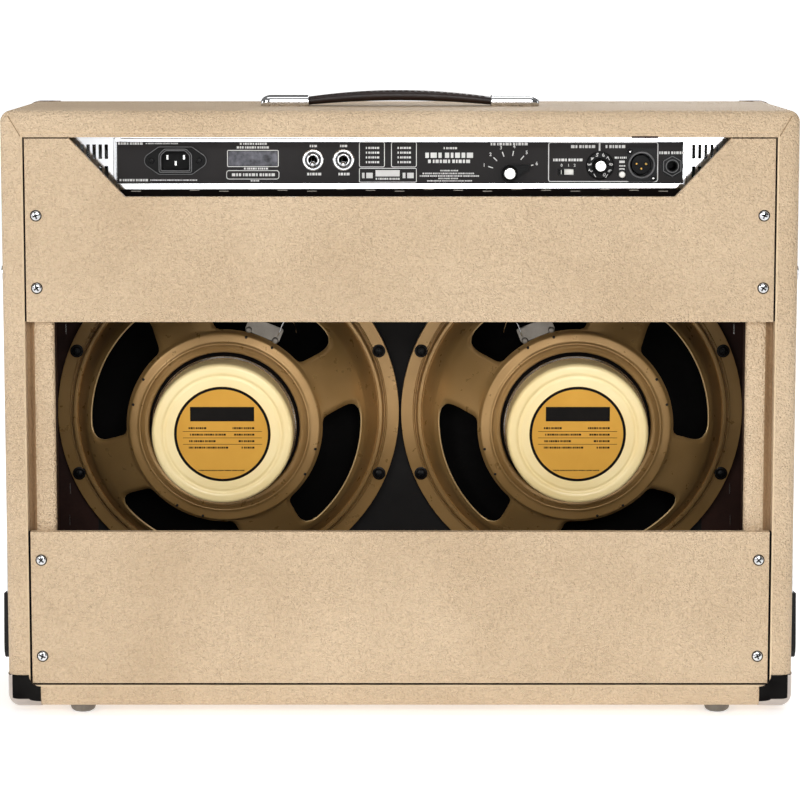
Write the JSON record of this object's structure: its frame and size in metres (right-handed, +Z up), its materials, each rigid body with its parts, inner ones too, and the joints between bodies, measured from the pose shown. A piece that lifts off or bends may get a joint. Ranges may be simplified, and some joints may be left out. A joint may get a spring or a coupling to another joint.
{
  "type": "guitar amplifier",
  "caption": "Open-backed guitar combo amplifier: vinyl-covered cabinet with leaning front, loudspeakers, recessed control panels, strap handle and swing-out tilt-back legs.",
  "frame": {"origin": "on the floor, under the middle of the cabinet's width and depth", "axes": "+X along the cabinet's width, +Y towards the open back, +Z up; the grille faces -Y"},
  "size_m": [0.6912, 0.262, 0.5286],
  "materials": {
    "vinyl_covering": "boards covered in pale textured vinyl",
    "vinyl_panel": "plywood covered in pale textured vinyl",
    "baffle_black": "plywood painted black",
    "grille_cloth": "woven wheat-coloured cloth",
    "basket_bronze": "bronze paint, satin",
    "magnet_cream": "cream paint, satin",
    "cone_paper": "pressed paper, matt",
    "strap_brown": "moulded, leather grain",
    "chrome": "polished",
    "rubber_black": "matt",
    "chassis_steel": "polished folded steel sheet",
    "panel_black": "black, satin",
    "plastic_black": "moulded, satin",
    "plastic_ivory": "moulded, satin",
    "lamp_red": "faceted jewel in a chromed bezel",
    "circuit_board": "solder mask",
    "cable_black": "matt sleeve"
  },
  "bodies": {
    "cabinet": {"cabinet_shell": "vinyl_covering", "rear_panel_upper": "vinyl_panel", "rear_panel_lower": "vinyl_panel", "foot_rear_left": "chrome", "foot_rear_right": "chrome", "foot_front_left": "chrome", "foot_front_right": "chrome", "baffle_board": "baffle_black", "grille_frame": "baffle_black", "grille_cloth": "grille_cloth", "speaker_basket_left": "basket_bronze", "speaker_basket_right": "basket_bronze", "speaker_magnet_left": "magnet_cream", "speaker_magnet_right": "magnet_cream", "handle_strap": "strap_brown", "handle_cap_left": "chrome", "handle_cap_right": "chrome", "leg_pivot_bolt_left": "chrome", "leg_pivot_bolt_right": "chrome", "leg_stop_left": "chrome", "leg_stop_right": "chrome", "chassis": "chassis_steel", "rear_control_panel": "panel_black", "front_control_panel": "panel_black", "mains_inlet": "plastic_black", "line_out_socket": "panel_black", "footswitch_jack": "plastic_black", "input_jack_normal_one": "chrome", "input_jack_normal_two": "chrome", "input_jack_reverb_one": "chrome", "input_jack_reverb_two": "chrome", "pilot_lamp": "lamp_red", "power_supply_board": "circuit_board", "amplifier_board": "circuit_board", "speaker_cable": "cable_black"},
    "speaker_cone_left": {"speaker_cone_left": "cone_paper"},
    "speaker_cone_right": {"speaker_cone_right": "cone_paper"},
    "tilt_leg_left": {"tilt_leg_left": "chrome", "leg_boot_left": "rubber_black"},
    "tilt_leg_right": {"tilt_leg_right": "chrome", "leg_boot_right": "rubber_black"},
    "power_toggle_lever": {"power_toggle_lever": "chrome"},
    "mute_toggle_lever": {"mute_toggle_lever": "chrome"},
    "output_power_knob": {"output_power_knob": "plastic_black"},
    "line_level_knob": {"line_level_knob": "plastic_black"},
    "cab_sim_slider": {"cab_sim_slider": "plastic_black"},
    "ground_lift_button": {"ground_lift_button": "plastic_ivory"},
    "normal_bright_lever": {"normal_bright_lever": "chrome"},
    "reverb_bright_lever": {"reverb_bright_lever": "chrome"},
    "knob_normal_volume": {"knob_normal_volume": "plastic_black"},
    "knob_normal_treble": {"knob_normal_treble": "plastic_black"},
    "knob_normal_middle": {"knob_normal_middle": "plastic_black"},
    "knob_normal_bass": {"knob_normal_bass": "plastic_black"},
    "knob_reverb_volume": {"knob_reverb_volume": "plastic_black"},
    "knob_reverb_treble": {"knob_reverb_treble": "plastic_black"},
    "knob_reverb_middle": {"knob_reverb_middle": "plastic_black"},
    "knob_reverb_bass": {"knob_reverb_bass": "plastic_black"},
    "knob_reverb_level": {"knob_reverb_level": "plastic_black"},
    "knob_tremolo_speed": {"knob_tremolo_speed": "plastic_black"},
    "knob_tremolo_depth": {"knob_tremolo_depth": "plastic_black"}
  },
  "joints": [
    {"name": "cone_left_travel", "type": "slide", "parent": "cabinet", "child": "speaker_cone_left", "axis": [0, 0.9983, -0.0591], "range_m": [-0.002, 0.002], "stiffness_N_per_m": 6000},
    {"name": "cone_right_travel", "type": "slide", "parent": "cabinet", "child": "speaker_cone_right", "axis": [0, 0.9983, -0.0591], "range_m": [-0.002, 0.002], "stiffness_N_per_m": 6000},
    {"name": "tilt_leg_left_swing", "type": "hinge", "parent": "cabinet", "child": "tilt_leg_left", "pos_m": [-0.3388, 0.041, 0.3715], "axis": [1, 0, 0], "range_deg": [0, 50]},
    {"name": "tilt_leg_right_swing", "type": "hinge", "parent": "cabinet", "child": "tilt_leg_right", "pos_m": [0.3388, 0.041, 0.3715], "axis": [1, 0, 0], "range_deg": [0, 50]},
    {"name": "power_toggle", "type": "hinge", "parent": "cabinet", "child": "power_toggle_lever", "pos_m": [0.0733, 0.098, 0.4725], "axis": [1, 0, 0], "range_deg": [0, 24]},
    {"name": "mute_toggle", "type": "hinge", "parent": "cabinet", "child": "mute_toggle_lever", "pos_m": [0.0476, 0.098, 0.4725], "axis": [1, 0, 0], "range_deg": [0, 24]},
    {"name": "output_power_turn", "type": "hinge", "parent": "cabinet", "child": "output_power_knob", "pos_m": [-0.0923, 0.103, 0.4615], "axis": [0, 1, 0], "range_deg": [0, 144]},
    {"name": "line_level_turn", "type": "hinge", "parent": "cabinet", "child": "line_level_knob", "pos_m": [-0.1685, 0.103, 0.4678], "axis": [0, 1, 0], "range_deg": [-150, 150]},
    {"name": "cab_sim_slide", "type": "slide", "parent": "cabinet", "child": "cab_sim_slider", "axis": [-1, 0, 0], "range_m": [0, 0.0082]},
    {"name": "ground_lift_press", "type": "slide", "parent": "cabinet", "child": "ground_lift_button", "axis": [0, -1, 0], "range_m": [0, 0.002], "stiffness_N_per_m": 350, "springref_m": -0.001},
    {"name": "normal_bright_toggle", "type": "hinge", "parent": "cabinet", "child": "normal_bright_lever", "pos_m": [-0.212, -0.08475, 0.46102], "axis": [1, 0, 0], "range_deg": [-24, 0]},
    {"name": "reverb_bright_toggle", "type": "hinge", "parent": "cabinet", "child": "reverb_bright_lever", "pos_m": [0, -0.08475, 0.46102], "axis": [1, 0, 0], "range_deg": [-24, 0]},
    {"name": "normal_volume_turn", "type": "hinge", "parent": "cabinet", "child": "knob_normal_volume", "pos_m": [-0.184, -0.08974, 0.46132], "axis": [0, 0.9983, -0.0591], "range_deg": [-150, 150]},
    {"name": "normal_treble_turn", "type": "hinge", "parent": "cabinet", "child": "knob_normal_treble", "pos_m": [-0.152, -0.08974, 0.46132], "axis": [0, 0.9983, -0.0591], "range_deg": [-150, 150]},
    {"name": "normal_middle_turn", "type": "hinge", "parent": "cabinet", "child": "knob_normal_middle", "pos_m": [-0.12, -0.08974, 0.46132], "axis": [0, 0.9983, -0.0591], "range_deg": [-150, 150]},
    {"name": "normal_bass_turn", "type": "hinge", "parent": "cabinet", "child": "knob_normal_bass", "pos_m": [-0.088, -0.08974, 0.46132], "axis": [0, 0.9983, -0.0591], "range_deg": [-150, 150]},
    {"name": "reverb_volume_turn", "type": "hinge", "parent": "cabinet", "child": "knob_reverb_volume", "pos_m": [0.03, -0.08974, 0.46132], "axis": [0, 0.9983, -0.0591], "range_deg": [-150, 150]},
    {"name": "reverb_treble_turn", "type": "hinge", "parent": "cabinet", "child": "knob_reverb_treble", "pos_m": [0.062, -0.08974, 0.46132], "axis": [0, 0.9983, -0.0591], "range_deg": [-150, 150]},
    {"name": "reverb_middle_turn", "type": "hinge", "parent": "cabinet", "child": "knob_reverb_middle", "pos_m": [0.094, -0.08974, 0.46132], "axis": [0, 0.9983, -0.0591], "range_deg": [-150, 150]},
    {"name": "reverb_bass_turn", "type": "hinge", "parent": "cabinet", "child": "knob_reverb_bass", "pos_m": [0.126, -0.08974, 0.46132], "axis": [0, 0.9983, -0.0591], "range_deg": [-150, 150]},
    {"name": "reverb_level_turn", "type": "hinge", "parent": "cabinet", "child": "knob_reverb_level", "pos_m": [0.158, -0.08974, 0.46132], "axis": [0, 0.9983, -0.0591], "range_deg": [-150, 150]},
    {"name": "tremolo_speed_turn", "type": "hinge", "parent": "cabinet", "child": "knob_tremolo_speed", "pos_m": [0.19, -0.08974, 0.46132], "axis": [0, 0.9983, -0.0591], "range_deg": [-150, 150]},
    {"name": "tremolo_depth_turn", "type": "hinge", "parent": "cabinet", "child": "knob_tremolo_depth", "pos_m": [0.222, -0.08974, 0.46132], "axis": [0, 0.9983, -0.0591], "range_deg": [-150, 150]}
  ]
}
